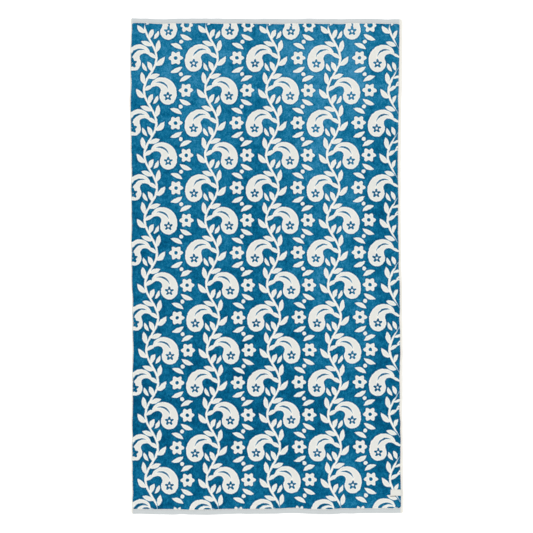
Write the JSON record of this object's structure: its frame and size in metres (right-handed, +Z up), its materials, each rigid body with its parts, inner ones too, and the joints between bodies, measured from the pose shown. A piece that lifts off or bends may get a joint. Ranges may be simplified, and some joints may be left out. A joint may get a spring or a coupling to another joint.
{
  "type": "beach towel",
  "caption": "Rectangular beach towel lying flat, patterned cut-pile cotton terry with thin flat-woven hems, slightly uneven edges and a small blank ribbon label.",
  "frame": {"origin": "middle of the towel's underside, on the surface it lies on", "axes": "+X towards the towel's right side as it is seen face up, +Y along its length towards its top end, +Z up out of its patterned face"},
  "size_m": [0.9746, 1.7664, 0.008],
  "materials": {
    "pile_cloth": "cut-pile cotton, blue ground with off-white figures, off-white flat-woven hems",
    "label_ribbon": "smooth woven ribbon, off-white and blank"
  },
  "bodies": {
    "root": {"towel_cloth": "pile_cloth", "side_label": "label_ribbon"}
  },
  "joints": []
}
